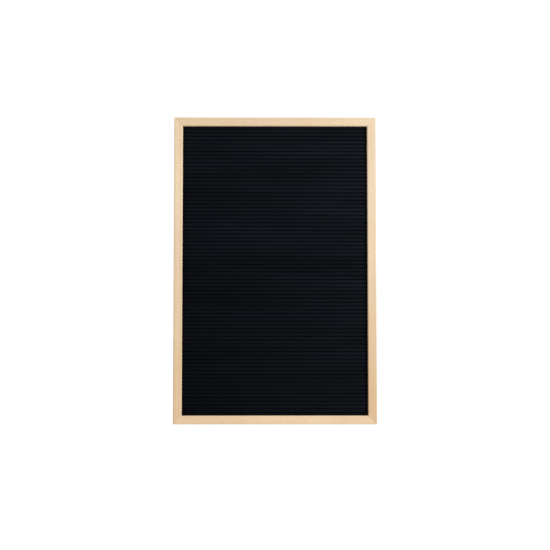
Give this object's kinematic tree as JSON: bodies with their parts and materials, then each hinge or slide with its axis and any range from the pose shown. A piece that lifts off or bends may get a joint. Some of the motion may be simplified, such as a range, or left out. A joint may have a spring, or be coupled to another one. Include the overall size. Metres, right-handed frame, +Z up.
{
  "type": "letter board",
  "caption": "Wall-hung felt letter board: mitred wooden frame round a grooved, felt-covered panel that grips letter tabs, with turn buttons, sawtooth hanger and wall bumpers at the back.",
  "frame": {"origin": "where the wall's nail seats in the middle notch of the sawtooth hanger, in the plane of the wall", "axes": "+Z up, +X to the right as seen from the front, +Y into the wall, so the front faces -Y"},
  "size_m": [0.302, 0.0223, 0.458],
  "materials": {
    "pale_wood": "smooth pale wood under a thin matt varnish",
    "black_felt": "short, dense, matt felt, near black",
    "fibreboard": "sawn medium fibreboard",
    "hardboard": "smooth brown hardboard",
    "zinc_plate": "bright zinc-plated sheet steel",
    "zinc_steel": "zinc-plated steel fasteners",
    "bumper_rubber": "soft grey rubber"
  },
  "bodies": {
    "frame": {"top_rail": "pale_wood", "bottom_rail": "pale_wood", "left_rail": "pale_wood", "right_rail": "pale_wood", "felt_face": "black_felt", "grooved_core": "fibreboard", "backing_board": "hardboard", "button_screw_top_left": "zinc_steel", "button_screw_top_right": "zinc_steel", "button_screw_bottom_left": "zinc_steel", "button_screw_bottom_right": "zinc_steel", "button_screw_left_upper": "zinc_steel", "button_screw_left_lower": "zinc_steel", "button_screw_right_upper": "zinc_steel", "button_screw_right_lower": "zinc_steel", "v_nail_top_left_outer": "zinc_steel", "v_nail_top_left_inner": "zinc_steel", "v_nail_top_right_outer": "zinc_steel", "v_nail_top_right_inner": "zinc_steel", "v_nail_bottom_left_outer": "zinc_steel", "v_nail_bottom_left_inner": "zinc_steel", "v_nail_bottom_right_outer": "zinc_steel", "v_nail_bottom_right_inner": "zinc_steel", "sawtooth_hanger": "zinc_plate", "hanger_nail_left": "zinc_steel", "hanger_nail_right": "zinc_steel", "wall_bumper_left": "bumper_rubber", "wall_bumper_right": "bumper_rubber"},
    "button_top_left": {"turn_button_top_left": "zinc_plate"},
    "button_top_right": {"turn_button_top_right": "zinc_plate"},
    "button_bottom_left": {"turn_button_bottom_left": "zinc_plate"},
    "button_bottom_right": {"turn_button_bottom_right": "zinc_plate"},
    "button_left_upper": {"turn_button_left_upper": "zinc_plate"},
    "button_left_lower": {"turn_button_left_lower": "zinc_plate"},
    "button_right_upper": {"turn_button_right_upper": "zinc_plate"},
    "button_right_lower": {"turn_button_right_lower": "zinc_plate"}
  },
  "joints": [
    {"name": "turn_top_left", "type": "hinge", "parent": "frame", "child": "button_top_left", "pos_m": [-0.0755, -0.00255, 0.0025], "axis": [0, 1, 0], "continuous": true},
    {"name": "turn_top_right", "type": "hinge", "parent": "frame", "child": "button_top_right", "pos_m": [0.0755, -0.00255, 0.0025], "axis": [0, 1, 0], "continuous": true},
    {"name": "turn_bottom_left", "type": "hinge", "parent": "frame", "child": "button_bottom_left", "pos_m": [-0.0755, -0.00255, -0.4465], "axis": [0, 1, 0], "continuous": true},
    {"name": "turn_bottom_right", "type": "hinge", "parent": "frame", "child": "button_bottom_right", "pos_m": [0.0755, -0.00255, -0.4465], "axis": [0, 1, 0], "continuous": true},
    {"name": "turn_left_upper", "type": "hinge", "parent": "frame", "child": "button_left_upper", "pos_m": [-0.1465, -0.00255, -0.1075], "axis": [0, 1, 0], "continuous": true},
    {"name": "turn_left_lower", "type": "hinge", "parent": "frame", "child": "button_left_lower", "pos_m": [-0.1465, -0.00255, -0.3365], "axis": [0, 1, 0], "continuous": true},
    {"name": "turn_right_upper", "type": "hinge", "parent": "frame", "child": "button_right_upper", "pos_m": [0.1465, -0.00255, -0.1075], "axis": [0, 1, 0], "continuous": true},
    {"name": "turn_right_lower", "type": "hinge", "parent": "frame", "child": "button_right_lower", "pos_m": [0.1465, -0.00255, -0.3365], "axis": [0, 1, 0], "continuous": true}
  ]
}
